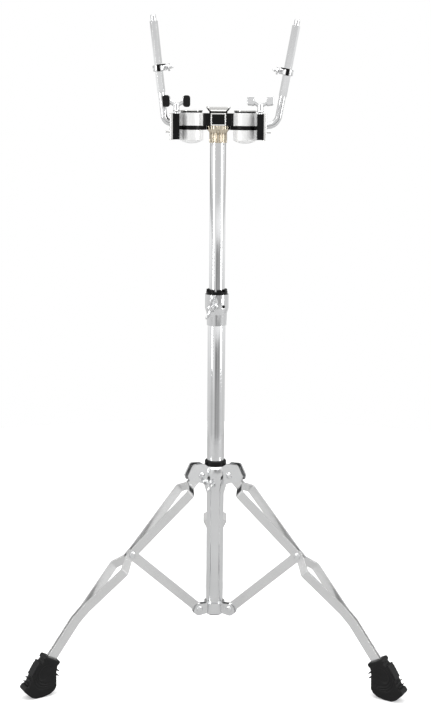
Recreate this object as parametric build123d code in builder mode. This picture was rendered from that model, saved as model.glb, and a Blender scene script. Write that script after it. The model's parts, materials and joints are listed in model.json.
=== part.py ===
"""Tripod stand for a pair of timbales: folding double-strip legs, telescoping mast and a two-arm holder.

Millimetres, +Z up. Everything is laid out about the mast's axis with the floor at z = 0, and the whole
stand is then moved so that the middle of its footprint is at the origin.
"""

import os
from math import cos, radians, sin

from build123d import *

# ---- fits -------------------------------------------------------------------------------------------
RUNNING_FIT = 0.05  # radial gap of a pin or shaft in its hole
FREE_GAP = 0.3  # gap between surfaces of pieces that move past each other
SIDE_PLAY = 0.5  # gap beside a flat bar between two cheeks

# ---- folding linkage: r is the distance from the mast's axis -----------------------------------------
LEG_AZIMUTHS = (90.0, 210.0, 330.0)
PIVOT_R = 31.0
HUB_PIVOT_Z = 326.0
LINK = 172.3  # hub pivot to middle joint, and middle joint to bracket pivot
LEG_ANGLE = 47.0  # of the leg's upper part, from vertical
BRACKET_PIVOT_Z = HUB_PIVOT_Z - 2 * LINK * cos(radians(LEG_ANGLE))
PIN_R = 3.0
PIN_HEAD_R = 5.2
PIN_HEAD = 2.0

# ---- mast -------------------------------------------------------------------------------------------
LOWER_TUBE_OD = 28.6
UPPER_TUBE_OD = 25.4
UPPER_TUBE_WALL = 1.2
LOWER_TUBE_WALL = (LOWER_TUBE_OD - UPPER_TUBE_OD) / 2 - FREE_GAP
LOWER_TUBE_BOTTOM = BRACKET_PIVOT_Z - 11.0
LOWER_TUBE_TOP = 612.0
UPPER_TUBE_TOP = 880.0
UPPER_TUBE_BOTTOM = UPPER_TUBE_TOP - 540.0
PLUG_FLANGE = 3.0
PLUG_DEPTH = 14.0

# ---- legs -------------------------------------------------------------------------------------------
STRIP_WIDTH = 15.5
STRIP_THICK = 3.0
NECK_HALF_GAP = 1.1  # from the leg's middle plane to a strip, at the hub and in the foot
SPLAY_HALF_GAP = 18.5
SPLAY_STARTS = 25.0  # hub pivot to the end of the neck
SPLAYED_FROM = 36.0  # hub pivot to the full spread
MIDDLE_FLAT = 10.0  # each way from the middle joint
SPLAYED_AGAIN = 29.7  # middle joint to the full spread below it
CLOSED_AGAIN = 114.0  # middle joint to the narrow lower end
BEND_ALONG = 310.0  # hub pivot to the bend above the foot
SHIN_ANGLE = 37.5  # below that bend, from vertical
STRIP_BEND_R = 4.0
BRACE_WIDTH = 16.0
BRACE_THICK = 3.2
FOOT_HALF_WIDTH = 12.0
FOOT_EDGE = 4.0
FOOT_CORNER_R = 5.0
COLLAR_Z = 61.0  # where the leg's line enters the foot
# (distance outward from where the leg's line enters, height above the floor)
FOOT_OUTLINE = (
    (-9.8, 51.5),
    (13.2, 69.5),
    (24.7, 59.0),
    (39.0, 42.0),
    (51.7, 24.0),
    (51.2, 17.0),
    (37.2, 0.0),
    (7.2, 0.0),
    (-2.3, 12.0),
)
STRIP_IN_FOOT = 30.0

# ---- hub --------------------------------------------------------------------------------------------
HUB_BOTTOM = HUB_PIVOT_Z - 30.0
HUB_SHOULDER = HUB_PIVOT_Z - 8.0
HUB_TOP = HUB_PIVOT_Z + 13.0
HUB_R = LOWER_TUBE_OD / 2 + 7.4
HUB_SKIRT_R = LOWER_TUBE_OD / 2 + 2.0
CHEEK_THICK = 4.0
HUB_RING_R = LOWER_TUBE_OD / 2 + 3.7
HUB_RING_TOP = HUB_PIVOT_Z + 22.0
LOCK_AZIMUTH = 252.0
HUB_LOCK_Z = HUB_PIVOT_Z - 17.0

# ---- bracket ----------------------------------------------------------------------------------------
BRACKET_R = LOWER_TUBE_OD / 2 + 3.2
BRACKET_TOP = LOWER_TUBE_BOTTOM + 19.0
EAR_THICK = 3.0
EAR_R = 10.0
EAR_CENTRE_Z = BRACKET_PIVOT_Z - 1.5

# ---- height clamp -----------------------------------------------------------------------------------
CLAMP_BOTTOM = LOWER_TUBE_TOP - 37.0
CLAMP_SHOULDER = LOWER_TUBE_TOP - 9.0
CLAMP_TOP = LOWER_TUBE_TOP + 14.0
CLAMP_R = LOWER_TUBE_OD / 2 + 4.7
CLAMP_SKIRT_R = LOWER_TUBE_OD / 2 + 1.5
CLAMP_RING_R = UPPER_TUBE_OD / 2 + 4.3
CLAMP_RING_TOP = CLAMP_TOP + 8.0
CLAMP_BOLT_Z = LOWER_TUBE_TOP - 5.0

# ---- holder -----------------------------------------------------------------------------------------
BALL_X = 42.5
BALL_Z = UPPER_TUBE_TOP + 11.0
BALL_R = 12.0
SLEEVE_R = 7.0
RECEIVER_BOTTOM = UPPER_TUBE_TOP - 12.0
RECEIVER_R = UPPER_TUBE_OD / 2 + 1.5
BLOCK_BOTTOM = BALL_Z + 3.5
BLOCK_TOP = BALL_Z + 23.0
BLOCK_HALF_Y = 16.0
CAP_TOP = BLOCK_TOP + 10.0
CAP_HALF_X = 19.0
WINDOW_HALF_X = 10.0
WINDOW_PLATE = 3.0
DRUM_R = 18.3
BAND_BOTTOM = BALL_Z - 3.0
BAND_TOP = BALL_Z + 3.5
DRUM_BOTTOM = BALL_Z - 19.0
DRUM_TOP = BALL_Z + 23.5
DOME_DEPTH = 5.4
LID_TOP = DRUM_TOP + 4.0
LAND = 18.5  # centre of a drum to its flat inner and outer ends
BLOCK_HALF_X = BALL_X - LAND
LUG_HALF_Y = 12.0
END_BLOCK_IN = BALL_X + LAND
END_BLOCK_OUT = END_BLOCK_IN + 9.0
END_LUG_OUT = END_BLOCK_OUT + 6.5
END_BLOCK_FRONT = -26.0
WING_X = END_BLOCK_IN + 4.7
WING_Y = -20.0

# ---- drum rods --------------------------------------------------------------------------------------
ROD_R = 5.25
ROD_FLATS = 11.0
ROD_UPRIGHT = 164.5  # corner to tip
ROD_TIP = 10.0  # turned down at the end
ROD_TIP_R = 4.2
HEX_START = 45.0  # corner to the start of the hexagonal part
MEMORY_ALONG = 82.5
ARM_INNER = 12.0
TILT = 8.0  # each way
TILT_GAP = 0.75  # round the rod's arm at the end of its tilt
# side: (sign of x, arm's rise, upright's lean outward, distance of the corner from the ball, bend radius)
SIDES = {"left": (-1, 13.0, 6.3, 43.9, 12.0), "right": (1, 6.5, 10.2, 51.1, 18.0)}

pieces = {}


def keep(name, part):
    """Collects a finished piece under its node name."""
    pieces[name] = part


def leg_plane(azimuth, lateral=0.0):
    """Upright plane of a leg: x runs outward, y up, and z across the leg."""
    out = Vector(cos(radians(azimuth)), sin(radians(azimuth)), 0)
    across = Vector(sin(radians(azimuth)), -cos(radians(azimuth)), 0)
    return Plane(origin=across * lateral, x_dir=out, z_dir=across)


def radial_plane(azimuth, height, distance):
    """Plane facing outward from the mast: x runs around it, y up."""
    out = Vector(cos(radians(azimuth)), sin(radians(azimuth)), 0)
    around = Vector(-sin(radians(azimuth)), cos(radians(azimuth)), 0)
    return Plane(origin=out * distance + Vector(0, 0, height), x_dir=around, z_dir=out)


def on_leg(along, angle=LEG_ANGLE, start=(PIVOT_R, HUB_PIVOT_Z)):
    """Point of a leg's middle plane, at a distance down a line that leaves start at an angle."""
    return (start[0] + along * sin(radians(angle)), start[1] - along * cos(radians(angle)))


HUB_PIVOT = (PIVOT_R, HUB_PIVOT_Z)
MIDDLE_JOINT = on_leg(LINK)
BRACKET_PIVOT = (PIVOT_R, BRACKET_PIVOT_Z)
SHIN_BEND = on_leg(BEND_ALONG)
SHIN = (SHIN_BEND[1] - COLLAR_Z) / cos(radians(SHIN_ANGLE))
COLLAR_R = on_leg(SHIN, SHIN_ANGLE, SHIN_BEND)[0]
NECK_OUTER = NECK_HALF_GAP + STRIP_THICK
CHEEK_INNER = NECK_OUTER + SIDE_PLAY
CHEEK_OUTER = CHEEK_INNER + CHEEK_THICK
MIDDLE_HALF_GAP = BRACE_THICK / 2 + SIDE_PLAY
EAR_INNER = BRACE_THICK / 2 + SIDE_PLAY
EAR_OUTER = EAR_INNER + EAR_THICK
LOWER_BORE_R = LOWER_TUBE_OD / 2 - LOWER_TUBE_WALL


def ring(bottom, top, outer, inner):
    """Plain ring about the mast's axis."""
    with BuildPart() as body:
        with BuildSketch(Plane.XY.offset(bottom)):
            Circle(outer)
            Circle(inner, mode=Mode.SUBTRACT)
        extrude(amount=top - bottom)
    return body.part


# ---- mast pieces ------------------------------------------------------------------------------------
keep("lower_tube", ring(LOWER_TUBE_BOTTOM, LOWER_TUBE_TOP, LOWER_TUBE_OD / 2, LOWER_BORE_R))
keep(
    "upper_tube",
    ring(UPPER_TUBE_BOTTOM, UPPER_TUBE_TOP, UPPER_TUBE_OD / 2, UPPER_TUBE_OD / 2 - UPPER_TUBE_WALL),
)

with BuildPart() as plug:
    with BuildSketch(Plane.XY.offset(LOWER_TUBE_BOTTOM - PLUG_FLANGE)):
        Circle(LOWER_TUBE_OD / 2)
    extrude(amount=PLUG_FLANGE)
    with BuildSketch(Plane.XY.offset(LOWER_TUBE_BOTTOM)):
        Circle(LOWER_BORE_R - RUNNING_FIT)
    extrude(amount=PLUG_DEPTH)
keep("tube_end_plug", plug.part)


# ---- bracket at the foot of the mast ----------------------------------------------------------------
with BuildPart() as bracket:
    with BuildSketch(Plane.XY.offset(LOWER_TUBE_BOTTOM)):
        Circle(BRACKET_R)
        Circle(LOWER_TUBE_OD / 2 + RUNNING_FIT, mode=Mode.SUBTRACT)
    extrude(amount=BRACKET_TOP - LOWER_TUBE_BOTTOM)
    for azimuth in LEG_AZIMUTHS:
        for side in (-1, 1):
            with BuildSketch(leg_plane(azimuth, side * EAR_INNER)):
                with Locations((PIVOT_R, EAR_CENTRE_Z)):
                    Circle(EAR_R)
                with Locations((BRACKET_R - 1.2, (BRACKET_TOP + LOWER_TUBE_BOTTOM) / 2)):
                    Rectangle(1.0, BRACKET_TOP - LOWER_TUBE_BOTTOM - 2)
                make_hull()
                with Locations(BRACKET_PIVOT):
                    Circle(PIN_R + RUNNING_FIT, mode=Mode.SUBTRACT)
            extrude(amount=side * EAR_THICK)
keep("brace_bracket", bracket.part)

with BuildPart() as rivets:
    for azimuth in LEG_AZIMUTHS:
        for side in (-1, 1):
            with BuildSketch(leg_plane(azimuth, side * EAR_INNER)):
                with Locations(BRACKET_PIVOT):
                    Circle(PIN_R)
            extrude(amount=side * EAR_THICK)
            with BuildSketch(leg_plane(azimuth, side * EAR_OUTER)):
                with Locations(BRACKET_PIVOT):
                    Circle(PIN_HEAD_R)
            extrude(amount=side * PIN_HEAD)
keep("bracket_rivets", rivets.part)

# ---- hub that the legs hang from --------------------------------------------------------------------
HUB_BORE_R = LOWER_TUBE_OD / 2 + FREE_GAP
BOSS_R = 6.5
HUB_BOSS_END = 26.0
LOCK_STEM_R = 3.0
CHEEK_OUTLINE = (
    (HUB_BORE_R + 1.4, HUB_BOTTOM + 10),
    (HUB_BORE_R + 1.4, HUB_TOP - 2),
    (HUB_RING_R + 2.5, HUB_TOP + 2),
    (PIVOT_R - 5, HUB_RING_TOP - 3),
    (PIVOT_R + 12, HUB_RING_TOP - 2),
    (PIVOT_R + 15, HUB_RING_TOP - 4),
    (PIVOT_R + 24, HUB_PIVOT_Z + 1),
    (PIVOT_R + 22, HUB_PIVOT_Z - 6),
    (PIVOT_R + 3, HUB_PIVOT_Z - 12),
)

with BuildPart() as hub:
    with BuildSketch(Plane.XZ):
        with BuildLine():
            Polyline(
                (HUB_BORE_R, HUB_BOTTOM),
                (HUB_SKIRT_R, HUB_BOTTOM),
                (HUB_R, HUB_SHOULDER),
                (HUB_R, HUB_TOP - 3),
                (HUB_R - 3, HUB_TOP),
                (HUB_BORE_R, HUB_TOP),
                close=True,
            )
        make_face()
    revolve(axis=Axis.Z)
    for azimuth in LEG_AZIMUTHS:
        for side in (-1, 1):
            with BuildSketch(leg_plane(azimuth, side * CHEEK_INNER)):
                with BuildLine():
                    Polyline(*CHEEK_OUTLINE, close=True)
                make_face()
                with Locations(HUB_PIVOT):
                    Circle(PIN_R + RUNNING_FIT, mode=Mode.SUBTRACT)
            extrude(amount=side * CHEEK_THICK)
    with BuildSketch(radial_plane(LOCK_AZIMUTH, HUB_LOCK_Z, LOWER_TUBE_OD / 2 + 1.5)):
        Circle(BOSS_R)
    extrude(amount=HUB_BOSS_END - LOWER_TUBE_OD / 2 - 1.5)
    with BuildSketch(radial_plane(LOCK_AZIMUTH, HUB_LOCK_Z, LOWER_TUBE_OD / 2)):
        Circle(LOCK_STEM_R + RUNNING_FIT)
    extrude(amount=HUB_BOSS_END, mode=Mode.SUBTRACT)
keep("leg_collar", hub.part)

with BuildPart() as hub_ring:
    with BuildSketch(Plane.XY.offset(HUB_TOP)):
        Circle(HUB_RING_R)
        Circle(LOWER_TUBE_OD / 2 + RUNNING_FIT, mode=Mode.SUBTRACT)
    extrude(amount=HUB_RING_TOP - HUB_TOP)
    chamfer(hub_ring.faces().sort_by(Axis.Z)[-1].outer_wire().edges(), 2.0)
keep("collar_bushing", hub_ring.part)

with BuildPart() as pivot_pins:
    for azimuth in LEG_AZIMUTHS:
        with BuildSketch(leg_plane(azimuth)):
            with Locations(HUB_PIVOT):
                Circle(PIN_R)
        extrude(amount=CHEEK_OUTER, both=True)
        for side in (-1, 1):
            with BuildSketch(leg_plane(azimuth, side * CHEEK_OUTER)):
                with Locations(HUB_PIVOT):
                    Circle(PIN_HEAD_R)
            extrude(amount=side * PIN_HEAD)
keep("leg_pivot_pins", pivot_pins.part)


# ---- legs -------------------------------------------------------------------------------------------
def foot_end():
    """End of the strips, inside the rubber foot."""
    return on_leg(SHIN + STRIP_IN_FOOT, SHIN_ANGLE, SHIN_BEND)


def leg_strip(azimuth, side):
    """Flat steel strip, necked at the hub, the middle joint and the foot, and splayed between them."""
    half = STRIP_THICK / 2
    neck = side * (NECK_HALF_GAP + half)
    splay = side * (SPLAY_HALF_GAP + half)
    middle = side * (MIDDLE_HALF_GAP + half)
    out = Vector(cos(radians(azimuth)), sin(radians(azimuth)), 0)
    down_leg = out * sin(radians(LEG_ANGLE)) - Vector(0, 0, cos(radians(LEG_ANGLE)))
    across_strip = out * cos(radians(LEG_ANGLE)) + Vector(0, 0, sin(radians(LEG_ANGLE)))
    pivot = out * PIVOT_R + Vector(0, 0, HUB_PIVOT_Z)
    with BuildPart() as strip:
        with BuildSketch(leg_plane(azimuth)):
            for start, end in ((HUB_PIVOT, SHIN_BEND), (SHIN_BEND, foot_end())):
                with BuildSketch(mode=Mode.ADD):
                    with Locations(start, end):
                        Circle(STRIP_WIDTH / 2)
                    make_hull()
            with Locations(HUB_PIVOT, MIDDLE_JOINT):
                Circle(PIN_R + RUNNING_FIT, mode=Mode.SUBTRACT)
        extrude(amount=SPLAY_HALF_GAP + 2 * STRIP_THICK, both=True)
        with BuildSketch(Plane(origin=pivot, x_dir=down_leg, z_dir=across_strip)):
            with BuildLine():
                FilletPolyline(
                    (-STRIP_WIDTH, neck),
                    (SPLAY_STARTS, neck),
                    (SPLAYED_FROM, splay),
                    (LINK - MIDDLE_FLAT, middle),
                    (LINK + MIDDLE_FLAT, middle),
                    (LINK + SPLAYED_AGAIN, splay),
                    (LINK + CLOSED_AGAIN, neck),
                    (BEND_ALONG + 2 * SHIN + STRIP_IN_FOOT, neck),
                    radius=STRIP_BEND_R,
                )
            trace(line_width=STRIP_THICK)
        extrude(amount=BEND_ALONG, both=True, mode=Mode.INTERSECT)
    return strip.part


def leg_spacer(azimuth):
    """Nylon washer between the two strips on the hub pin."""
    with BuildPart() as spacer:
        with BuildSketch(leg_plane(azimuth)):
            with Locations(HUB_PIVOT):
                Circle(STRIP_WIDTH / 2 - 1)
                Circle(PIN_R + RUNNING_FIT, mode=Mode.SUBTRACT)
        extrude(amount=NECK_HALF_GAP - RUNNING_FIT, both=True)
    return spacer.part


def middle_pin(azimuth):
    """Rivet through both strips and the brace."""
    reach = MIDDLE_HALF_GAP + STRIP_THICK + RUNNING_FIT
    with BuildPart() as pin:
        with BuildSketch(leg_plane(azimuth)):
            with Locations(MIDDLE_JOINT):
                Circle(PIN_R)
        extrude(amount=reach, both=True)
        for side in (-1, 1):
            with BuildSketch(leg_plane(azimuth, side * reach)):
                with Locations(MIDDLE_JOINT):
                    Circle(PIN_HEAD_R)
            extrude(amount=side * PIN_HEAD)
    return pin.part


def foot(azimuth, strips):
    """Rubber boot with a flat tread, moulded round the ends of the strips."""
    with BuildPart() as boot:
        with BuildSketch(leg_plane(azimuth)):
            with BuildLine():
                Polyline(*[(COLLAR_R + out, height) for out, height in FOOT_OUTLINE], close=True)
            outline = make_face()
            fillet(outline.vertices(), FOOT_CORNER_R)
        extrude(amount=FOOT_HALF_WIDTH, both=True)
        fillet(boot.faces().filter_by(leg_plane(azimuth)).edges(), FOOT_EDGE)
        for strip in strips:
            add(strip, mode=Mode.SUBTRACT)
    return boot.part


def brace(azimuth):
    """Flat bar from the middle joint to the bracket."""
    with BuildPart() as bar:
        with BuildSketch(leg_plane(azimuth)):
            with Locations(MIDDLE_JOINT, BRACKET_PIVOT):
                Circle(BRACE_WIDTH / 2)
            make_hull()
            with Locations(MIDDLE_JOINT, BRACKET_PIVOT):
                Circle(PIN_R + RUNNING_FIT, mode=Mode.SUBTRACT)
        extrude(amount=BRACE_THICK / 2, both=True)
    return bar.part


for number, azimuth in enumerate(LEG_AZIMUTHS, start=1):
    strips = [leg_strip(azimuth, -1), leg_strip(azimuth, 1)]
    keep(f"leg_{number}_strip_a", strips[0])
    keep(f"leg_{number}_strip_b", strips[1])
    keep(f"leg_{number}_spacer", leg_spacer(azimuth))
    keep(f"leg_{number}_rivet", middle_pin(azimuth))
    keep(f"leg_{number}_foot", foot(azimuth, strips))
    keep(f"brace_{number}", brace(azimuth))


# ---- screws with wings ------------------------------------------------------------------------------
def wing_plane(seat):
    """Plane through a bolt's axis and across its wings, with y along the axis."""
    return Plane(origin=seat.origin, x_dir=seat.x_dir, z_dir=seat.y_dir * -1)


def wings(seat, span, lobe, rise, thick, root):
    """The two flat lobes of a wing bolt, whose roots are in its hub."""
    with BuildPart() as lobes:
        for side in (-1, 1):
            with BuildSketch(wing_plane(seat)):
                with Locations((side * (span / 2 - lobe), rise)):
                    Circle(lobe)
                with Locations((0, rise - lobe / 2)):
                    Circle(root)
                make_hull()
            extrude(amount=thick / 2, both=True)
    return lobes.part


def wing_bolt(seat, stem_r, stem, hub_r, hub, span, lobe, rise, thick):
    """Bolt whose head stands on the seat plane."""
    with BuildPart() as bolt:
        with BuildSketch(seat.offset(-stem)):
            Circle(stem_r)
        extrude(amount=stem)
        with BuildSketch(seat):
            Circle(hub_r)
        extrude(amount=hub)
        add(wings(seat, span, lobe, rise, thick, hub_r * 0.7))
    return bolt.part


HUB_LOCK_SEAT = radial_plane(LOCK_AZIMUTH, HUB_LOCK_Z, HUB_BOSS_END + FREE_GAP)
HUB_LOCK_SEAT = Plane(origin=HUB_LOCK_SEAT.origin, x_dir=(0, 0, 1), z_dir=HUB_LOCK_SEAT.z_dir)
keep(
    "collar_lock_bolt",
    wing_bolt(
        HUB_LOCK_SEAT,
        stem_r=LOCK_STEM_R,
        stem=10.5,
        hub_r=4.5,
        hub=4.0,
        span=19.0,
        lobe=4.2,
        rise=5.5,
        thick=3.0,
    ),
)

# ---- height clamp -----------------------------------------------------------------------------------
CLAMP_BOSS_END = 27.0
SET_SCREW_AZIMUTH = 305.0
SET_SCREW_R = 2.5

with BuildPart() as clamp:
    with BuildSketch(Plane.XZ):
        with BuildLine():
            Polyline(
                (LOWER_TUBE_OD / 2 + RUNNING_FIT, CLAMP_BOTTOM),
                (CLAMP_SKIRT_R, CLAMP_BOTTOM),
                (CLAMP_SKIRT_R + 0.8, CLAMP_SHOULDER - 8),
                (CLAMP_R, CLAMP_SHOULDER),
                (CLAMP_R, CLAMP_TOP),
                (UPPER_TUBE_OD / 2 + FREE_GAP, CLAMP_TOP),
                (UPPER_TUBE_OD / 2 + FREE_GAP, LOWER_TUBE_TOP + RUNNING_FIT),
                (LOWER_TUBE_OD / 2 + RUNNING_FIT, LOWER_TUBE_TOP + RUNNING_FIT),
                close=True,
            )
        make_face()
    revolve(axis=Axis.Z)
    with BuildSketch(radial_plane(LOCK_AZIMUTH, CLAMP_BOLT_Z, LOWER_TUBE_OD / 2 + 1.5)):
        Circle(BOSS_R + 1)
    extrude(amount=CLAMP_BOSS_END - LOWER_TUBE_OD / 2 - 1.5)
    with BuildSketch(radial_plane(LOCK_AZIMUTH, CLAMP_BOLT_Z, LOWER_TUBE_OD / 2)):
        Circle(LOCK_STEM_R + RUNNING_FIT)
    extrude(amount=CLAMP_BOSS_END, mode=Mode.SUBTRACT)
    with BuildSketch(radial_plane(SET_SCREW_AZIMUTH, CLAMP_BOLT_Z, LOWER_TUBE_OD / 2)):
        Circle(SET_SCREW_R + RUNNING_FIT)
    extrude(amount=CLAMP_R, mode=Mode.SUBTRACT)
keep("height_clamp", clamp.part)

with BuildPart() as clamp_ring:
    with BuildSketch(Plane.XY.offset(CLAMP_TOP)):
        Circle(CLAMP_RING_R)
        Circle(UPPER_TUBE_OD / 2 + RUNNING_FIT, mode=Mode.SUBTRACT)
    extrude(amount=CLAMP_RING_TOP - CLAMP_TOP)
    chamfer(clamp_ring.faces().sort_by(Axis.Z)[-1].outer_wire().edges(), 1.5)
keep("clamp_bushing", clamp_ring.part)

with BuildPart() as set_screw:
    with BuildSketch(radial_plane(SET_SCREW_AZIMUTH, CLAMP_BOLT_Z, LOWER_TUBE_OD / 2 + RUNNING_FIT)):
        Circle(SET_SCREW_R)
    extrude(amount=CLAMP_R - LOWER_TUBE_OD / 2 + 0.8)
    with BuildSketch(radial_plane(SET_SCREW_AZIMUTH, CLAMP_BOLT_Z, CLAMP_R - 1)):
        RegularPolygon(1.5, 6)
    extrude(amount=4, mode=Mode.SUBTRACT)
keep("clamp_set_screw", set_screw.part)

CLAMP_BOLT_SEAT = radial_plane(LOCK_AZIMUTH, CLAMP_BOLT_Z, CLAMP_BOSS_END + FREE_GAP)
CLAMP_BOLT_SEAT = Plane(origin=CLAMP_BOLT_SEAT.origin, x_dir=(0, 0, 1), z_dir=CLAMP_BOLT_SEAT.z_dir)
keep(
    "clamp_wing_bolt",
    wing_bolt(
        CLAMP_BOLT_SEAT,
        stem_r=LOCK_STEM_R,
        stem=11.5,
        hub_r=6.0,
        hub=8.0,
        span=36.0,
        lobe=6.0,
        rise=9.0,
        thick=4.0,
    ),
)

# ---- holder: receiver, block, cap -------------------------------------------------------------------
FLUTES = 12
with BuildPart() as receiver:
    with BuildSketch(Plane.XZ):
        with BuildLine():
            Polyline(
                (0, UPPER_TUBE_TOP + FREE_GAP),
                (UPPER_TUBE_OD / 2 + RUNNING_FIT, UPPER_TUBE_TOP + FREE_GAP),
                (UPPER_TUBE_OD / 2 + RUNNING_FIT, RECEIVER_BOTTOM),
                (RECEIVER_R, RECEIVER_BOTTOM),
                (RECEIVER_R, BLOCK_BOTTOM - 9),
                (CAP_HALF_X, BLOCK_BOTTOM - 5),
                (CAP_HALF_X, BLOCK_BOTTOM),
                (0, BLOCK_BOTTOM),
                close=True,
            )
        make_face()
    revolve(axis=Axis.Z)
    with BuildSketch(Plane.XY.offset(BLOCK_BOTTOM - 9)):
        with PolarLocations(CAP_HALF_X + 0.6, FLUTES, start_angle=15):
            Circle(2.0)
    extrude(amount=9, mode=Mode.SUBTRACT)
keep("holder_receiver", receiver.part)

with BuildPart() as block:
    with BuildSketch(Plane.XY.offset(BLOCK_BOTTOM)):
        Rectangle(2 * BLOCK_HALF_X, 2 * BLOCK_HALF_Y)
    extrude(amount=BLOCK_TOP - BLOCK_BOTTOM)
    chamfer(block.edges().filter_by(Axis.Z), 3.0)
keep("holder_block", block.part)

with BuildPart() as window_frame:
    with BuildSketch(Plane.XZ.offset(BLOCK_HALF_Y)):
        with Locations((0, (BLOCK_BOTTOM + BLOCK_TOP) / 2)):
            Rectangle(2 * WINDOW_HALF_X + 4, BLOCK_TOP - BLOCK_BOTTOM)
            Rectangle(2 * WINDOW_HALF_X, BLOCK_TOP - BLOCK_BOTTOM - 4, mode=Mode.SUBTRACT)
    extrude(amount=WINDOW_PLATE)
keep("holder_frame", window_frame.part)

with BuildPart() as window_pad:
    with BuildSketch(Plane.XZ.offset(BLOCK_HALF_Y)):
        with Locations((0, (BLOCK_BOTTOM + BLOCK_TOP) / 2)):
            Rectangle(2 * (WINDOW_HALF_X - RUNNING_FIT), BLOCK_TOP - BLOCK_BOTTOM - 4 - 2 * RUNNING_FIT)
    extrude(amount=WINDOW_PLATE - 1)
keep("holder_window_pad", window_pad.part)

with BuildPart() as cap:
    with BuildSketch(Plane.XY.offset(BLOCK_TOP)):
        Rectangle(2 * CAP_HALF_X - 12, 2 * BLOCK_HALF_Y - 4)
    extrude(amount=3)
    with BuildSketch(Plane.XY.offset(BLOCK_TOP + 3)):
        RectangleRounded(2 * CAP_HALF_X - 8, 2 * BLOCK_HALF_Y - 2, 4)
    with BuildSketch(Plane.XY.offset(CAP_TOP - 2)):
        RectangleRounded(2 * CAP_HALF_X, 2 * BLOCK_HALF_Y + 4, 6)
    loft()
    with BuildSketch(Plane.XY.offset(CAP_TOP - 2)):
        RectangleRounded(2 * CAP_HALF_X, 2 * BLOCK_HALF_Y + 4, 6)
    extrude(amount=2)
keep("holder_cap", cap.part)


# ---- holder: the ball clamp on each side ------------------------------------------------------------
def side_x(sign, low, high):
    """Centre and length along X of a stretch on one side of the mast."""
    return sign * (low + high) / 2, high - low


def rod_slot(sign, rise):
    """Wedge that the rod's arm sweeps as its ball tilts."""
    gap = ROD_R + TILT_GAP
    reach = 60.0
    with BuildPart() as slot:
        with BuildSketch(Plane.XZ):
            with Locations((sign * BALL_X, BALL_Z)):
                Circle(gap)
            for angle in (rise - TILT, rise + TILT):
                tip_x = sign * (BALL_X + reach * cos(radians(angle)))
                with Locations((tip_x, BALL_Z + reach * sin(radians(angle)))):
                    Circle(gap)
            make_hull()
        extrude(amount=gap, both=True)
    return slot.part


def clear_ball(sign, rise):
    """Space for the ball, the rod's inner end and the rod's arm."""
    with BuildPart() as space:
        with Locations((sign * BALL_X, 0, BALL_Z)):
            Sphere(BALL_R + FREE_GAP)
        with BuildSketch(Plane.YZ.offset(sign * BALL_X)):
            with Locations((0, BALL_Z)):
                Circle(SLEEVE_R + 2.6)
        extrude(amount=-sign * (ARM_INNER + 2.5))
        add(rod_slot(sign, rise))
    return space.part


def drum_layer(sign, bottom, top, radius, space):
    """Slice of the drum-shaped clamp, with a flat land at its inner and outer end."""
    inner, outer = BLOCK_HALF_X, END_BLOCK_IN
    centre, length = side_x(sign, inner, outer)
    with BuildPart() as layer:
        with BuildSketch(Plane.XY.offset(bottom)):
            with Locations((sign * BALL_X, 0)):
                Circle(radius)
            with Locations((centre, 0)):
                Rectangle(length, 2 * LUG_HALF_Y)
        extrude(amount=top - bottom)
        with BuildSketch(Plane.XY.offset(bottom)):
            with Locations((centre, 0)):
                Rectangle(length, 4 * radius)
        extrude(amount=top - bottom, mode=Mode.INTERSECT)
        add(space, mode=Mode.SUBTRACT)
    return layer.part


def upper_shell(sign, space):
    """Upper half of the drum with its lid."""
    with BuildPart() as shell:
        add(drum_layer(sign, BAND_TOP, DRUM_TOP, DRUM_R, space))
        with BuildSketch(Plane.XY.offset(DRUM_TOP)):
            with Locations((sign * BALL_X, 0)):
                Circle(DRUM_R - 4)
        extrude(amount=1)
        with BuildSketch(Plane.XY.offset(DRUM_TOP + 1)):
            with Locations((sign * BALL_X, 0)):
                Circle(DRUM_R - 0.8)
        extrude(amount=LID_TOP - DRUM_TOP - 1, taper=35)
    return shell.part


def lower_shell(sign, space):
    """Lower half of the drum with its domed bottom."""
    dome_r = (DRUM_R**2 + DOME_DEPTH**2) / (2 * DOME_DEPTH)
    with BuildPart() as shell:
        add(drum_layer(sign, DRUM_BOTTOM, BAND_BOTTOM, DRUM_R, space))
        with BuildSketch(Plane.XZ):
            with BuildLine():
                Line((sign * BALL_X, DRUM_BOTTOM - DOME_DEPTH), (sign * BALL_X, DRUM_BOTTOM))
                Line((sign * BALL_X, DRUM_BOTTOM), (sign * BALL_X + DRUM_R, DRUM_BOTTOM))
                RadiusArc(
                    (sign * BALL_X + DRUM_R, DRUM_BOTTOM),
                    (sign * BALL_X, DRUM_BOTTOM - DOME_DEPTH),
                    dome_r,
                )
            make_face()
        revolve(axis=Axis((sign * BALL_X, 0, 0), (0, 0, 1)))
    return shell.part


def end_block(sign, space):
    """Black jaw at the outer end, which the wing bolt goes through."""
    centre, length = side_x(sign, END_BLOCK_IN, END_BLOCK_OUT)
    with BuildPart() as jaw:
        with BuildSketch(Plane.XY.offset(DRUM_BOTTOM + 1)):
            with Locations((centre, (LUG_HALF_Y + END_BLOCK_FRONT) / 2)):
                Rectangle(length, LUG_HALF_Y - END_BLOCK_FRONT)
        extrude(amount=BLOCK_TOP - 1 - DRUM_BOTTOM - 1)
        with BuildSketch(Plane.XY.offset(DRUM_BOTTOM)):
            with Locations((sign * WING_X, WING_Y)):
                Circle(LOCK_STEM_R + RUNNING_FIT)
        extrude(amount=BLOCK_TOP - DRUM_BOTTOM, mode=Mode.SUBTRACT)
        add(space, mode=Mode.SUBTRACT)
    return jaw.part


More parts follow.
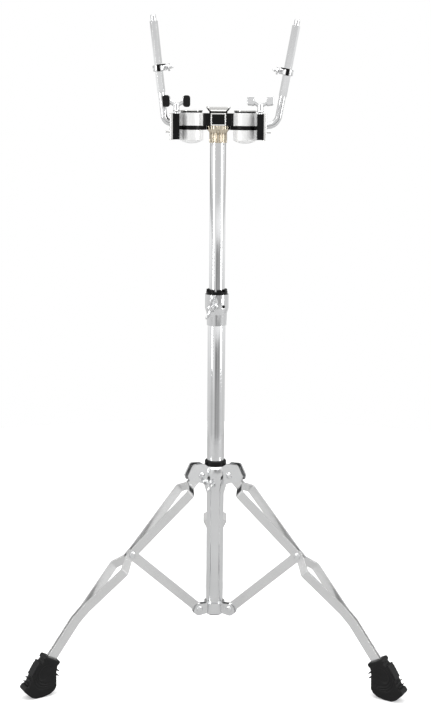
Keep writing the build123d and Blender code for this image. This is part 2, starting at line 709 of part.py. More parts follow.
def end_lug(sign, space):
    """Chrome plate over the end block, with a stop pin below the rod."""
    centre, length = side_x(sign, END_BLOCK_OUT, END_LUG_OUT)
    with BuildPart() as lug:
        with BuildSketch(Plane.XY.offset(DRUM_BOTTOM)):
            with Locations((centre, -2)):
                RectangleRounded(length, 2 * LUG_HALF_Y + 4, 2)
        extrude(amount=BLOCK_TOP - DRUM_BOTTOM)
        with BuildSketch(Plane.YZ.offset(sign * (END_LUG_OUT - 1))):
            with Locations((-LUG_HALF_Y + 2.5, BALL_Z - 6)):
                Circle(1.8)
        extrude(amount=sign * 7.5)
        add(space, mode=Mode.SUBTRACT)
    return lug.part


def arm_direction(sign, rise):
    """Unit vector along the rod's arm, outward."""
    return Vector(sign * cos(radians(rise)), 0, sin(radians(rise)))


def ball(sign, rise):
    """Ball with a bore along the rod's arm."""
    centre = Vector(sign * BALL_X, 0, BALL_Z)
    with BuildPart() as knob:
        with Locations((sign * BALL_X, 0, BALL_Z)):
            Sphere(BALL_R)
        with BuildSketch(Plane(origin=centre, x_dir=(0, 1, 0), z_dir=arm_direction(sign, rise))):
            Circle(SLEEVE_R + RUNNING_FIT)
        extrude(amount=2 * BALL_R, both=True, mode=Mode.SUBTRACT)
    return knob.part


def sleeve(sign, rise):
    """Nylon liner that the rod turns and slides in."""
    half = (BALL_R**2 - SLEEVE_R**2) ** 0.5
    centre = Vector(sign * BALL_X, 0, BALL_Z)
    with BuildPart() as liner:
        with BuildSketch(Plane(origin=centre, x_dir=(0, 1, 0), z_dir=arm_direction(sign, rise))):
            Circle(SLEEVE_R)
            Circle(ROD_R + RUNNING_FIT, mode=Mode.SUBTRACT)
        extrude(amount=half, both=True)
    return liner.part


def upright_plane(sign, rise, lean, corner, along):
    """Plane across the rod's upright at a distance from its corner, with x pointing at the mast."""
    elbow = Vector(sign * BALL_X, 0, BALL_Z) + arm_direction(sign, rise) * corner
    up = Vector(sign * sin(radians(lean)), 0, cos(radians(lean)))
    inward = Vector(-sign * cos(radians(lean)), 0, sin(radians(lean)))
    return Plane(origin=elbow + up * along, x_dir=inward, z_dir=up)


def drum_rod(sign, rise, lean, corner, bend):
    """L-shaped rod: round arm and bend, hexagonal upright."""
    centre = Vector(sign * BALL_X, 0, BALL_Z)
    arm = arm_direction(sign, rise)
    inner_end = centre - arm * ARM_INNER
    elbow = upright_plane(sign, rise, lean, corner, 0).origin
    hex_plane = upright_plane(sign, rise, lean, corner, HEX_START)
    with BuildPart() as rod:
        with BuildLine():
            FilletPolyline(inner_end, elbow, hex_plane.origin, radius=bend)
        with BuildSketch(Plane(origin=inner_end, x_dir=(0, 1, 0), z_dir=arm)):
            Circle(ROD_R)
        sweep()
        with BuildSketch(hex_plane):
            RegularPolygon(ROD_FLATS / 2, 6, major_radius=False)
        extrude(amount=ROD_UPRIGHT - ROD_TIP - HEX_START)
        with BuildSketch(upright_plane(sign, rise, lean, corner, ROD_UPRIGHT - ROD_TIP)):
            Circle(ROD_TIP_R)
        extrude(amount=ROD_TIP)
        tip = rod.faces().sort_by(Axis.Z)[-1]
        chamfer(tip.edges(), 1.5)
    return rod.part


LOCK_R = 9.3
LOCK_HALF = 4.5
LOCK_BOSS_END = 13.0
LOCK_SCREW_R = 2.5


def memory_lock(sign, rise, lean, corner):
    """Ring on the hexagonal upright that remembers the drum's height."""
    seat = upright_plane(sign, rise, lean, corner, MEMORY_ALONG)
    inward = Plane(origin=seat.origin, x_dir=(0, 1, 0), z_dir=seat.x_dir)
    with BuildPart() as lock:
        with BuildSketch(seat):
            Circle(LOCK_R)
        extrude(amount=LOCK_HALF, both=True)
        with BuildSketch(inward):
            Circle(LOCK_HALF)
        extrude(amount=LOCK_BOSS_END)
        with BuildSketch(seat):
            Circle(ROD_FLATS / 2 / cos(radians(30)) + FREE_GAP)
        extrude(amount=2 * LOCK_HALF, both=True, mode=Mode.SUBTRACT)
        with BuildSketch(inward):
            Circle(LOCK_SCREW_R + RUNNING_FIT)
        extrude(amount=2 * LOCK_BOSS_END, mode=Mode.SUBTRACT)
    return lock.part


def memory_screw(sign, rise, lean, corner):
    """Wing screw that locks the ring."""
    seat = upright_plane(sign, rise, lean, corner, MEMORY_ALONG)
    head = Plane(
        origin=seat.origin + seat.x_dir * (LOCK_BOSS_END + FREE_GAP), x_dir=seat.z_dir, z_dir=seat.x_dir
    )
    return wing_bolt(
        head, stem_r=LOCK_SCREW_R, stem=6.0, hub_r=3.8, hub=4.0, span=13.0, lobe=3.2, rise=7.0, thick=3.0
    )


WING_SEAT_Z = BLOCK_TOP + 1.5
WING_SPAN = 42.0
WING_RISE = 17.5
for name, (sign, rise, lean, corner, bend) in SIDES.items():
    space = clear_ball(sign, rise)
    keep(f"{name}_upper_shell", upper_shell(sign, space))
    keep(f"{name}_lower_shell", lower_shell(sign, space))
    keep(f"{name}_band", drum_layer(sign, BAND_BOTTOM, BAND_TOP, DRUM_R + 0.4, space))
    keep(f"{name}_end_block", end_block(sign, space))
    keep(f"{name}_end_lug", end_lug(sign, space))
    keep(f"{name}_ball", ball(sign, rise))
    keep(f"{name}_sleeve", sleeve(sign, rise))
    keep(f"{name}_drum_rod", drum_rod(sign, rise, lean, corner, bend))
    keep(f"{name}_memory_lock", memory_lock(sign, rise, lean, corner))
    keep(f"{name}_memory_screw", memory_screw(sign, rise, lean, corner))
    wing_seat = Plane(origin=(sign * WING_X, WING_Y, WING_SEAT_Z), x_dir=(1, 0, 0), z_dir=(0, 0, 1))
    keep(
        f"{name}_wing_bolt",
        wing_bolt(
            wing_seat,
            stem_r=LOCK_STEM_R,
            stem=38.0,
            hub_r=5.5,
            hub=14.0,
            span=WING_SPAN,
            lobe=7.5,
            rise=WING_RISE,
            thick=4.5,
        ),
    )

# ---- rubber tips on the left wing bolt --------------------------------------------------------------
TIP_WIDTH = 11.0
TIP_HEIGHT = 18.0
TIP_THICK = 8.0
left_seat = Plane(origin=(-WING_X, WING_Y, WING_SEAT_Z), x_dir=(1, 0, 0), z_dir=(0, 0, 1))
with BuildPart() as tips:
    for side in (-1, 1):
        with BuildSketch(wing_plane(left_seat)):
            with Locations((side * (WING_SPAN / 2 + 0.5 - TIP_WIDTH / 2), WING_RISE - 1)):
                RectangleRounded(TIP_WIDTH, TIP_HEIGHT, 4.0)
        extrude(amount=TIP_THICK / 2, both=True)
    add(pieces["left_wing_bolt"], mode=Mode.SUBTRACT)
keep("left_wing_tips", tips.part)

# ---- move the middle of the footprint to the origin, and write every piece --------------------------
boxes = [part.bounding_box() for part in pieces.values()]
MAST_Y = -(min(box.min.Y for box in boxes) + max(box.max.Y for box in boxes)) / 2

os.makedirs("parts", exist_ok=True)
for name, part in pieces.items():
    placed = part.moved(Location((0, MAST_Y, 0)))
    placed.label = name
    export_step(placed, f"parts/{name}.step")
print("mast axis at y =", round(MAST_Y, 3), "pieces", len(pieces))
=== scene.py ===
# %% [markdown]
# # A folding tripod stand with a two-arm holder
# A chromed mast stands in a tripod of doubled steel strips. On top, a holder clamps two bent rods
# that carry a pair of drums. The engineering model already fixes every place and size, so this
# lesson loads it as a frame and builds the finished surfaces around it.

# %% Load the frame
import json
from math import atan2, cos, pi, radians, sin

import bmesh
import bpy
from mathutils import Matrix, Vector

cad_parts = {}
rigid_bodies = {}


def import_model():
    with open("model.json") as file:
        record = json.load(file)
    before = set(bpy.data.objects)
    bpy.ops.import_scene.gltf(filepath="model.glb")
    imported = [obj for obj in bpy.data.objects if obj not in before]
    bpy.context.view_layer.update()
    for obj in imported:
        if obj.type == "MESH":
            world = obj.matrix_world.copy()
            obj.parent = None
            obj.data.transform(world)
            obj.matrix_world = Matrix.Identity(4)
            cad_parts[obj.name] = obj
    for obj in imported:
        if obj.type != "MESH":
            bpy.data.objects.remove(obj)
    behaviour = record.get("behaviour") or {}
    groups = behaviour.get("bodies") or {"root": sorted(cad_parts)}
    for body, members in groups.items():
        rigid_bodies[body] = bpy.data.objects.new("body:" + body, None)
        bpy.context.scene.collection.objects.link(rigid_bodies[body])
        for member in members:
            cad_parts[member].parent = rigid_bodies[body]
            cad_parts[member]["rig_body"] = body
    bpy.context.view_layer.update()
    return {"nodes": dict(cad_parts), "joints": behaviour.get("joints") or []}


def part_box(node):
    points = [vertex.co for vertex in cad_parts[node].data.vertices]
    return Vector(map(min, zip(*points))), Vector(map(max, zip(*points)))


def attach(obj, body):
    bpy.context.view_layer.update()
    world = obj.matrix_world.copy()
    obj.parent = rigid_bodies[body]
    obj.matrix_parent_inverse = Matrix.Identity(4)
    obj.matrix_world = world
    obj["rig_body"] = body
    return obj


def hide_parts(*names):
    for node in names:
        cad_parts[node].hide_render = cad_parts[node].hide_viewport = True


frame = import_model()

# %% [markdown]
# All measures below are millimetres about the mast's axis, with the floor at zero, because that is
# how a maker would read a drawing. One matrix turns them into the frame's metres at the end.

MM = 0.001
tube_low, tube_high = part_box("upper_tube")
MAST_Y = (tube_low.y + tube_high.y) / 2
TO_FRAME = Matrix.Translation((0, MAST_Y, 0)) @ Matrix.Scale(MM, 4)
print("mast axis at y =", round(MAST_Y, 5))


def box_mm(node):
    """Lowest and highest corner of a frame node, in millimetres about the mast."""
    low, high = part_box(node)
    shift = Vector((0, MAST_Y, 0))
    return (low - shift) / MM, (high - shift) / MM


# %% [markdown]
# ## The camera and the studio
# The stand is seen from chest height with a long lens. Chrome has no look of its own: it shows the
# room. So the room is built first, as a band of brightness round the horizon: white walls, and
# darker gaps that draw the long streaks down every tube. A wide soft light hangs overhead.

# %% Camera
scene = bpy.context.scene
scene.view_settings.view_transform = "Standard"
camera_data = bpy.data.cameras.new("camera")
camera = bpy.data.objects.new("camera", camera_data)
scene.collection.objects.link(camera)
LENS_MM, SENSOR_MM = 62.07, 36.0
EYE = (-0.0013, MAST_Y - 2.017, 0.9035)
EYE_PITCH, EYE_ROLL = radians(79.02), radians(0.47)
camera_data.lens = LENS_MM
camera_data.sensor_width = SENSOR_MM
camera.location = EYE
camera_turn = Matrix.Rotation(EYE_PITCH, 4, "X") @ Matrix.Rotation(EYE_ROLL, 4, "Z")
camera.rotation_euler = camera_turn.to_euler()
scene.camera = camera
print("camera", [round(v, 3) for v in camera.location])

# %% [markdown]
# Shader arithmetic is easier to read as sums than as boxes and wires. A small class holds a socket,
# so that `1 - mask` or `mask * 0.2` adds the Math node for it. Every other node goes through one
# method.


# %% Shader arithmetic
class Field:
    """A number, colour or direction that varies over a surface."""

    def __init__(self, tree, socket):
        self.tree = tree
        self.socket = socket

    def node(self, kind, settings=None, sockets=None, output=0):
        """Adds a node to the same tree: settings first, then values or links for its sockets."""
        made = self.tree.nodes.new(kind)
        for key, value in (settings or {}).items():
            if key == "stops":
                while len(made.color_ramp.elements) < len(value):
                    made.color_ramp.elements.new(0.5)
                for stop, (place, shade) in zip(made.color_ramp.elements, value):
                    stop.position = place
                    stop.color = (shade, shade, shade, 1.0)
            else:
                setattr(made, key, value)
        for key, value in (sockets or {}).items():
            if isinstance(value, Field):
                self.tree.links.new(value.socket, made.inputs[key])
            else:
                made.inputs[key].default_value = value
        return Field(self.tree, made.outputs[output])

    def maths(self, operation, first, second):
        """A Math node on two fields or numbers."""
        return self.node("ShaderNodeMath", {"operation": operation}, {0: first, 1: second})

    def __add__(self, other):
        return self.maths("ADD", self, other)

    __radd__ = __add__

    def __mul__(self, other):
        return self.maths("MULTIPLY", self, other)

    __rmul__ = __mul__

    def __sub__(self, other):
        return self.maths("SUBTRACT", self, other)

    def __rsub__(self, other):
        return self.maths("SUBTRACT", other, self)


# %% [markdown]
# The room's brightness is a ramp over the compass direction. Zero degrees is the side that the
# camera stands on, and each pair below is a direction and how bright the wall is there. A real room
# also changes with height: the dark gap between the screens ends at chest height, the wall above it
# is a calm grey, and the ceiling is one large soft light.

# %% The room
LOW_WALL = (
    (-180, 0.34),
    (-165, 0.62),
    (-140, 1.14),
    (-110, 1.08),
    (-89, 0.98),
    (-72, 0.88),
    (-56, 0.62),
    (-41, 0.98),
    (-27, 0.98),
    (-13, 0.40),
    (-2, 0.16),
    (12, 0.48),
    (27, 0.28),
    (41, 0.52),
    (56, 0.90),
    (72, 1.08),
    (89, 0.98),
    (110, 0.95),
    (140, 1.12),
    (165, 0.62),
    (180, 0.34),
)
CHEST_WALL = (
    (-180, 0.30),
    (-130, 0.45),
    (-60, 0.80),
    (0, 1.10),
    (40, 1.20),
    (100, 0.78),
    (180, 0.30),
)
HIGH_WALL = (
    (-180, 0.30),
    (-160, 0.10),
    (-135, 0.60),
    (-95, 1.05),
    (-45, 0.90),
    (-25, 0.72),
    (25, 0.72),
    (45, 0.90),
    (95, 1.05),
    (135, 0.60),
    (160, 0.10),
    (180, 0.30),
)
BRIGHTEST = 1.25  # a ramp's stops stay at or below one
DULL = (0.5 / BRIGHTEST, 0.5 / BRIGHTEST, 0.5 / BRIGHTEST, 1.0)
CEILING = (0.85, 0.85, 0.85, 1.0)

world = bpy.data.worlds.new("studio")
world.use_nodes = True
scene.world = world
world.node_tree.nodes.clear()
room = Field(world.node_tree, None)
way = room.node("ShaderNodeTexCoord")
east, north, up = (room.node("ShaderNodeSeparateXYZ", None, {0: way}, output=i) for i in range(3))
compass = room.maths("ARCTAN2", east, north * -1) * (1 / (2 * pi)) + 0.5


def wall(profile):
    """A wall whose brightness goes round the compass."""
    stops = [((angle + 180) / 360, light / BRIGHTEST) for angle, light in profile]
    return room.node("ShaderNodeValToRGB", {"stops": stops}, {0: compass})


def fade(low, high, most=1.0):
    """Rises from nothing to its most between two heights of the view direction."""
    limits = {0: up, 1: low, 2: high, 3: 0.0, 4: most}
    return room.node("ShaderNodeMapRange", {"interpolation_type": "SMOOTHSTEP"}, limits)


def blend_colours(field, factor, first, second):
    """A Mix node on colours."""
    mixed = {0: factor, 6: first, 7: second}
    return field.node("ShaderNodeMix", {"data_type": "RGBA"}, mixed, output=2)


seen = blend_colours(room, fade(-0.16, -0.06, 0.5) * -1 + 0.5, wall(LOW_WALL), DULL)
seen = blend_colours(room, fade(-0.036, -0.010), seen, wall(CHEST_WALL))
seen = blend_colours(room, fade(0.028, 0.060), seen, wall(HIGH_WALL))
seen = blend_colours(room, fade(0.35, 0.85), seen, CEILING)
lit = room.node("ShaderNodeBackground", None, {0: seen, 1: BRIGHTEST})
plain = room.node("ShaderNodeBackground", None, {0: (1.0, 1.0, 1.0, 1.0), 1: 1.0})
camera_ray = room.node("ShaderNodeLightPath")
both = room.node("ShaderNodeMixShader", None, {0: camera_ray, 1: lit, 2: plain})
world_end = world.node_tree.nodes.new("ShaderNodeOutputWorld")
world.node_tree.links.new(both.socket, world_end.inputs[0])
print("room brightness over", len(LOW_WALL) + len(CHEST_WALL) + len(HIGH_WALL), "directions")


# %% Lamps
def softbox(name, place, aim, width, height, watts):
    """A rectangular light that faces a point."""
    data = bpy.data.lights.new(name, "AREA")
    data.shape = "RECTANGLE"
    data.size = width
    data.size_y = height
    data.energy = watts
    lamp = bpy.data.objects.new(name, data)
    lamp.location = place
    lamp.rotation_euler = (Vector(aim) - Vector(place)).to_track_quat("-Z", "Y").to_euler()
    scene.collection.objects.link(lamp)
    return lamp


softbox("overhead_box", (0.0, MAST_Y - 0.2, 2.9), (0.0, MAST_Y, 0.0), 2.4, 2.4, 34)
softbox("left_strip", (-1.9, MAST_Y - 1.3, 1.2), (0.0, MAST_Y, 0.6), 0.25, 1.9, 16)
softbox("right_strip", (1.9, MAST_Y - 0.9, 1.2), (0.0, MAST_Y, 0.6), 0.25, 1.9, 16)

# %% [markdown]
# A material here is always the same shader with sums in front of it, so two small helpers make one
# and fill its sockets. The floor is the first to use them.


# %% Material helpers
def new_material(name):
    """An empty node material, its Principled shader, and a field to grow shader sums from."""
    made = bpy.data.materials.new(name)
    made.use_nodes = True
    shader = made.node_tree.nodes["Principled BSDF"]
    return made, shader, Field(made.node_tree, None)


def feed(shader, sockets):
    """Links fields to the shader, and sets plain numbers on its own sockets."""
    for key, value in sockets.items():
        socket = shader.inputs[key]
        if isinstance(value, Field):
            value.tree.links.new(value.socket, socket)
        else:
            socket.default_value = value

# %% [markdown]
# The floor is a plain white sheet. Rays that bounce off the chrome see a greyer one, as they would
# in a room whose light falls mostly on the stand.

# %% Floor
FLOOR_R = 1.7
floor_mesh = bmesh.new()
bmesh.ops.create_circle(floor_mesh, cap_ends=True, segments=96, radius=FLOOR_R)
bmesh.ops.translate(floor_mesh, verts=floor_mesh.verts, vec=(0, MAST_Y, 0))
floor_data = bpy.data.meshes.new("studio_floor")
floor_mesh.to_mesh(floor_data)
floor_mesh.free()
floor = bpy.data.objects.new("studio_floor", floor_data)
scene.collection.objects.link(floor)
paper, paper_shader, paper_field = new_material("floor_paper")
seen_direct = paper_field.node("ShaderNodeLightPath")
seen_glossy = paper_field.node("ShaderNodeLightPath", output=3)
WHITE = (0.93, 0.93, 0.93, 1.0)
GREY = (0.50, 0.50, 0.50, 1.0)
NO_GLOW, FAINT_GLOW = (0.0, 0.0, 0.0, 1.0), (0.22, 0.22, 0.22, 1.0)
paper_tone = blend_colours(paper_field, seen_glossy, WHITE, GREY)
paper_glow = blend_colours(paper_field, seen_direct, NO_GLOW, FAINT_GLOW)
feed(paper_shader, {"Base Color": paper_tone, "Roughness": 0.9, "Specular IOR Level": 0.0})
feed(paper_shader, {"Emission Color": paper_glow, "Emission Strength": 1.0})
floor_data.materials.append(paper)


# %% [markdown]
# ## Finishes
# Plated steel is a mirror with small faults: the metal under the plate is never quite flat, and
# handling leaves a haze. One recipe makes every chrome here. Noise in the Roughness is the haze, and
# two bumps are the slow ripple of the metal and the fine marks of the polishing wheel. The drums'
# shells are satin: a paler, rougher plate that blurs the black blocks beside them.


# %% Chrome
def chrome(name, tint, gloss, haze, ripple, mark, along=(1.0, 1.0, 1.0), metal=1.0):
    """Plated metal: gloss is the lowest roughness, haze what the handling adds to it."""
    made, shader, field = new_material(name)
    place = field.node("ShaderNodeTexCoord", output=3)
    ground = field.node("ShaderNodeMapping", None, {0: place, 3: along})
    smear = field.node("ShaderNodeTexNoise", None, {0: place, 2: 28.0, 3: 3.0, 4: 0.6})
    fine = field.node("ShaderNodeTexNoise", None, {0: ground, 2: 900.0, 3: 2.0, 4: 0.6})
    slow = field.node("ShaderNodeTexNoise", None, {0: place, 2: 55.0, 3: 1.0, 4: 0.4})
    dark = tuple(0.88 * t for t in tint)
    tone = blend_colours(field, smear, (*tint, 1.0), (*dark, 1.0))
    rough = smear * haze + fine * (0.4 * haze) + gloss
    wavy = field.node("ShaderNodeBump", None, {"Strength": 1.0, "Distance": ripple, "Height": slow})
    marked = field.node(
        "ShaderNodeBump", None, {"Strength": 1.0, "Distance": mark, "Height": fine, "Normal": wavy}
    )
    feed(shader, {"Base Color": tone, "Metallic": metal, "Roughness": rough, "Normal": marked})
    return made


def moulded(name, tone, dusty, rough, grain, size, shine=0.25):
    """Black rubber or plastic: a dusty tone, and a fine grain from the mould."""
    made, shader, field = new_material(name)
    place = field.node("ShaderNodeTexCoord", output=3)
    cloud = field.node("ShaderNodeTexNoise", None, {0: place, 2: 45.0, 3: 4.0, 4: 0.6})
    speck = field.node("ShaderNodeTexNoise", None, {0: place, 2: size, 3: 3.0, 4: 0.7})
    colour = blend_colours(field, cloud, (tone, tone, tone, 1.0), (dusty, dusty, dusty * 1.05, 1.0))
    bump = field.node("ShaderNodeBump", None, {"Strength": 1.0, "Distance": grain, "Height": speck})
    roughness = cloud * 0.16 + (rough - 0.08)
    feed(shader, {"Base Color": colour, "Roughness": roughness, "Normal": bump})
    feed(shader, {"Specular IOR Level": shine})
    return made


SILVER = (0.80, 0.805, 0.81)
FINISHES = {
    "tube_chrome": chrome("tube_chrome", SILVER, 0.05, 0.05, 0.00002, 0.000002, (1.0, 1.0, 0.05)),
    "cast_chrome": chrome("cast_chrome", SILVER, 0.09, 0.08, 0.00012, 0.000004),
    "strip_chrome": chrome("strip_chrome", (0.79, 0.79, 0.79), 0.16, 0.08, 0.00006, 0.000005),
    "holder_chrome": chrome("holder_chrome", (0.82, 0.815, 0.80), 0.07, 0.06, 0.00006, 0.000003),
    "satin_chrome": chrome(
        "satin_chrome", (0.84, 0.84, 0.835), 0.42, 0.06, 0.00002, 0.000002, metal=0.35
    ),
    "rod_chrome": chrome("rod_chrome", SILVER, 0.10, 0.05, 0.000006, 0.000001, (1.0, 1.0, 0.06)),
    "fastener_chrome": chrome("fastener_chrome", SILVER, 0.09, 0.08, 0.00008, 0.000004),
    "warm_chrome": chrome("warm_chrome", (0.74, 0.66, 0.53), 0.10, 0.08, 0.00006, 0.000003),
    "rubber": moulded("rubber", 0.003, 0.008, 0.46, 0.00006, 2600.0, 0.20),
    "black_plastic": moulded("black_plastic", 0.002, 0.005, 0.30, 0.00002, 1800.0, 0.16),
    "nylon": moulded("nylon", 0.030, 0.045, 0.48, 0.00002, 2200.0),
}
print("finishes", sorted(FINISHES))

# %% [markdown]
# ## Making and placing pieces
# Every piece ends the same way: doubles merged, faces turned outward, the drawing's millimetres
# turned into the frame's metres, then set to ride its body, with the frame nodes that it stands for
# hidden.


def body_of(node):
    """The moving body that a node of the frame belongs to."""
    return frame["nodes"][node]["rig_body"]


def clean(bm):
    """Merges doubles and turns every face outward."""
    bmesh.ops.remove_doubles(bm, verts=bm.verts, dist=0.001)
    bmesh.ops.recalc_face_normals(bm, faces=bm.faces)
    return bm


def finished(name, bm, finish, rides, stands_for=(), corner=32):
    """Turns a drawing in millimetres into a piece of the stand."""
    clean(bm)
    bmesh.ops.transform(bm, matrix=TO_FRAME, verts=bm.verts)
    data = bpy.data.meshes.new(name)
    bm.to_mesh(data)
    bm.free()
    piece = bpy.data.objects.new(name, data)
    scene.collection.objects.link(piece)
    data.shade_smooth()
    data.set_sharp_from_angle(angle=radians(corner))
    data.materials.append(FINISHES[finish])
    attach(piece, rides)
    if stands_for:
        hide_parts(*stands_for)
    return piece


def rounded(piece, width, segments=2, corner=30):
    """A small radius on every sharp edge, as a press or a polishing wheel leaves it."""
    edge = piece.modifiers.new("edge_radius", "BEVEL")
    edge.width = width * MM
    edge.segments = segments
    edge.limit_method = "ANGLE"
    edge.angle_limit = radians(corner)
    edge.harden_normals = True
    return piece


# %% [markdown]
# A flat or plain part of the frame has the right shape and only lacks its edges. Such a part is
# copied, its loose triangles are merged back into faces, and each edge gets its radius.


# %% Softened copies of frame parts
FLAT = radians(0.5)  # faces closer to one plane than this are one face


def drawing_of(node):
    """The frame node's mesh in millimetres about the mast, with flat areas merged to one face."""
    bm = bmesh.new()
    bm.from_mesh(frame["nodes"][node].data)
    bmesh.ops.transform(bm, matrix=TO_FRAME.inverted(), verts=bm.verts)
    bmesh.ops.remove_doubles(bm, verts=bm.verts, dist=0.002)
    bmesh.ops.dissolve_limit(
        bm, angle_limit=FLAT, verts=bm.verts, edges=bm.edges, delimit={"NORMAL"}
    )
    return bm


def softened(node, finish, width, corner=30):
    """A frame part with its edges rounded."""
    piece = finished(f"{node}_finished", drawing_of(node), finish, body_of(node), (node,))
    return rounded(piece, width, corner=corner)


LEGS = (1, 2, 3)
for number in LEGS:
    for part in ("a", "b"):
        softened(f"leg_{number}_strip_{part}", "strip_chrome", 0.5)
    softened(f"brace_{number}", "strip_chrome", 0.6)
    softened(f"leg_{number}_spacer", "nylon", 0.2)
print("strips and braces softened")

# %% [markdown]
# ## Turned parts
# Tubes, rings and rivet heads are round, so each is drawn as half a section and spun about its axis.


# %% Spin a section
def lathe(section, steps=96, turn=None):
    """A closed section of (radius, height) points spun about the upright axis, then turned."""
    bm = bmesh.new()
    corners = [bm.verts.new((radius, 0.0, height)) for radius, height in section]
    outline = [bm.edges.new((a, b)) for a, b in zip(corners, corners[1:] + corners[:1])]
    bmesh.ops.spin(
        bm,
        geom=corners + outline,
        axis=(0, 0, 1),
        cent=(0, 0, 0),
        angle=2 * pi,
        steps=steps,
        use_merge=True,
    )
    bmesh.ops.remove_doubles(bm, verts=bm.verts, dist=0.0005)
    if turn is not None:
        bmesh.ops.transform(bm, matrix=turn, verts=bm.verts)
    return bm


def rim(radius, height, size, inward=1, upward=1, steps=4):
    """Points of a rounded corner, from its side to its end."""
    points = []
    for step in range(steps + 1):
        angle = radians(90 * step / steps)
        out = radius - inward * size * (1 - cos(angle))
        points.append((out, height - upward * size * (1 - sin(angle))))
    return points


def tube_section(outer, inner, low, high, size=0.8):
    """Section of a tube with a rounded outer lip at each end."""
    lower = rim(outer, low, size, upward=-1)[::-1]
    return [(inner, low)] + lower + rim(outer, high, size) + [(inner, high)]


def merged(*drawings):
    """Several drawings in one."""
    whole = drawings[0]
    for other in drawings[1:]:
        data = bpy.data.meshes.new("part")
        other.to_mesh(data)
        other.free()
        whole.from_mesh(data)
        bpy.data.meshes.remove(data)
    return whole


# %% Mast tubes
LOWER_R, LOWER_BORE = 14.3, 13.0
UPPER_R, UPPER_BORE = 12.7, 11.5
PLUG_R = 12.9
low, high = box_mm("lower_tube")
LOWER_BOTTOM, LOWER_TOP = low.z, high.z
finished(
    "lower_tube_polished",
    lathe(tube_section(LOWER_R, LOWER_BORE, LOWER_BOTTOM, LOWER_TOP)),
    "tube_chrome",
    "column",
    ("lower_tube",),
)
low, high = box_mm("upper_tube")
finished(
    "upper_tube_polished",
    lathe(tube_section(UPPER_R, UPPER_BORE, low.z, high.z, 0.5)),
    "tube_chrome",
    "mast",
    ("upper_tube",),
)
plug_low, plug_high = box_mm("tube_end_plug")
plug_section = [(0.0, plug_low.z)] + rim(LOWER_R, plug_low.z, 1.5, upward=-1)[::-1]
plug_section += [(LOWER_R, LOWER_BOTTOM), (PLUG_R, LOWER_BOTTOM)]
plug_section += [(PLUG_R, plug_high.z), (0.0, plug_high.z)]
finished("tube_end_plug_moulded", lathe(plug_section), "black_plastic", "column", ("tube_end_plug",))
print("tubes", round(LOWER_BOTTOM, 1), "to", round(high.z, 1))

# %% [markdown]
# ## Rivets
# A rivet's head is a low dome. Each is a spun section laid on its side, on the outer face of the
# bar that it holds.


# %% Rivet heads
def leg_turn(azimuth):
    """Leg plane to the stand: x runs outward, y across the leg, z up."""
    return Matrix.Rotation(radians(azimuth), 4, "Z")


AZIMUTHS = {1: 90.0, 2: 210.0, 3: 330.0}
SHANK_R = 3.0


def dome(radius, height, seat):
    """Section of a domed head that stands on a seat."""
    points = [(0.0, seat - 0.4), (radius, seat - 0.4), (radius, seat + 0.25 * height)]
    for step in range(1, 7):
        angle = radians(90 * step / 6)
        points.append((radius * cos(angle), seat + height * (0.25 + 0.75 * sin(angle))))
    return points


def rivet(azimuth, out, up, seat, radius, height):
    """Two domed heads and the shank between them, across a leg. seat is half the grip."""
    drawing = []
    for side in (-1, 1):
        lay = Matrix.Translation((out, 0, up)) @ Matrix.Rotation(radians(-90 * side), 4, "X")
        turn = leg_turn(azimuth) @ lay
        drawing.append(lathe(dome(radius, height, seat), 32, turn))
        core = [(0.0, 0.0), (SHANK_R, 0.0), (SHANK_R, seat), (0.0, seat)]
        drawing.append(lathe(core, 24, turn))
    return merged(*drawing)


JOINTS = {joint["name"]: joint for joint in frame["joints"]}


def joint_place(name):
    """A joint's place in millimetres about the mast: distance out, and height."""
    x, y, z = JOINTS[name]["pos_m"]
    return Vector((x, y - MAST_Y, 0)).length / MM, z / MM


HUB_OUT, HUB_UP = joint_place("leg_1_fold")
MID_OUT, MID_UP = joint_place("brace_1_swing")
for number, azimuth in AZIMUTHS.items():
    finished(
        f"leg_{number}_rivet_domed",
        rivet(azimuth, MID_OUT, MID_UP, 5.2, 5.6, 2.4),
        "fastener_chrome",
        f"leg_{number}",
        (f"leg_{number}_rivet",),
    )
pins = [rivet(azimuth, HUB_OUT, HUB_UP, 8.6, 5.4, 2.4) for azimuth in AZIMUTHS.values()]
finished("leg_pivot_pins_domed", merged(*pins), "fastener_chrome", "leg_hub", ("leg_pivot_pins",))
EAR_UP = HUB_UP + 2 * (MID_UP - HUB_UP)
ears = [rivet(azimuth, HUB_OUT, EAR_UP, 5.1, 5.4, 2.2) for azimuth in AZIMUTHS.values()]
finished("bracket_rivets_domed", merged(*ears), "fastener_chrome", "column", ("bracket_rivets",))
print("hub pivot", round(HUB_OUT, 1), round(HUB_UP, 1))
print("middle joint", round(MID_OUT, 1), round(MID_UP, 1))

# %% [markdown]
# ## Castings
# The hub, the height clamp, the bracket and the holder's jaws keep the frame's shape with generous
# radii, because a casting has no sharp edge. The rods, sleeves and small plastic parts only need a
# narrow radius. The last number of each line is that radius.

# %% Castings and holder
softened("leg_collar", "cast_chrome", 0.9)
softened("height_clamp", "cast_chrome", 0.7)
softened("brace_bracket", "cast_chrome", 0.6)
softened("holder_block", "black_plastic", 0.6)
softened("holder_frame", "holder_chrome", 0.5)
softened("holder_window_pad", "black_plastic", 0.3)
softened("holder_cap", "holder_chrome", 0.6)
for side in ("left", "right"):
    softened(f"{side}_lower_shell", "satin_chrome", 0.5)
    softened(f"{side}_band", "black_plastic", 0.4)
    softened(f"{side}_end_block", "black_plastic", 0.8)
    softened(f"{side}_end_lug", "holder_chrome", 0.6)
    softened(f"{side}_ball", "nylon", 0.3)
    softened(f"{side}_sleeve", "nylon", 0.2)
    softened(f"{side}_drum_rod", "rod_chrome", 0.35)
softened("clamp_set_screw", "black_plastic", 0.2)
softened("collar_bushing", "black_plastic", 0.5)
softened("left_wing_tips", "rubber", 0.8)

